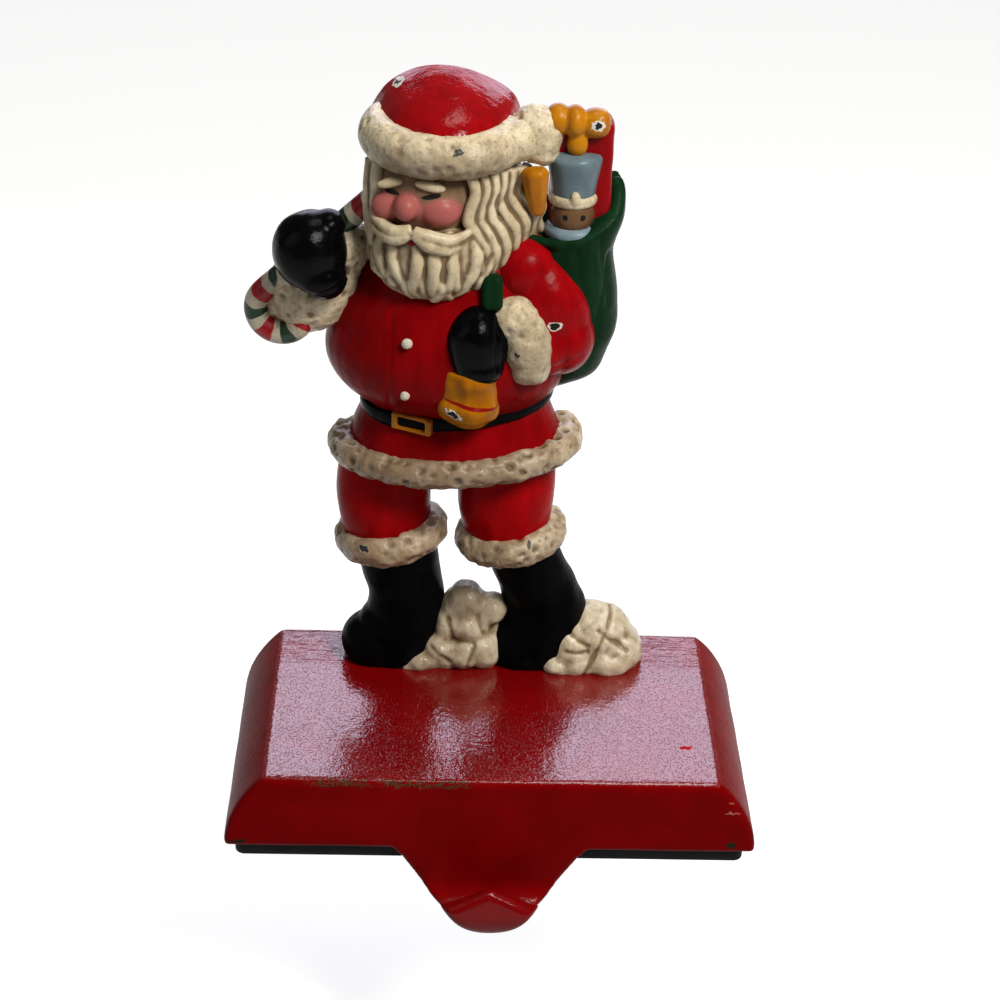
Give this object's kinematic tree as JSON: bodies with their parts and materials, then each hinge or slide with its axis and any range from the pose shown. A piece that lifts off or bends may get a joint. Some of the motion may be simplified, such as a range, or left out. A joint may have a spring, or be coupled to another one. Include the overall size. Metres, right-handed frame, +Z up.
{
  "type": "mantel stocking holder",
  "caption": "Painted cast stocking holder: a Father Christmas figure with sack, bell and candy cane stands on a heavy bevelled base whose tongue bends into a hook in front of the mantel.",
  "frame": {"origin": "middle of the underside of the seat pad, where the holder stands on the mantel", "axes": "+Z up, -Y towards the viewer and the hook, +X to the viewer's right"},
  "size_m": [0.108, 0.0672, 0.1648],
  "materials": {
    "base_enamel": "deep red gloss enamel on cast iron",
    "figure_enamel": "hand-painted gloss enamel on cast iron, mostly red",
    "screw_steel": "plain",
    "pad_rubber": "matt black"
  },
  "bodies": {
    "root": {"base": "base_enamel", "figure": "figure_enamel", "figure_screws": "screw_steel", "seat_pad": "pad_rubber"}
  },
  "joints": []
}
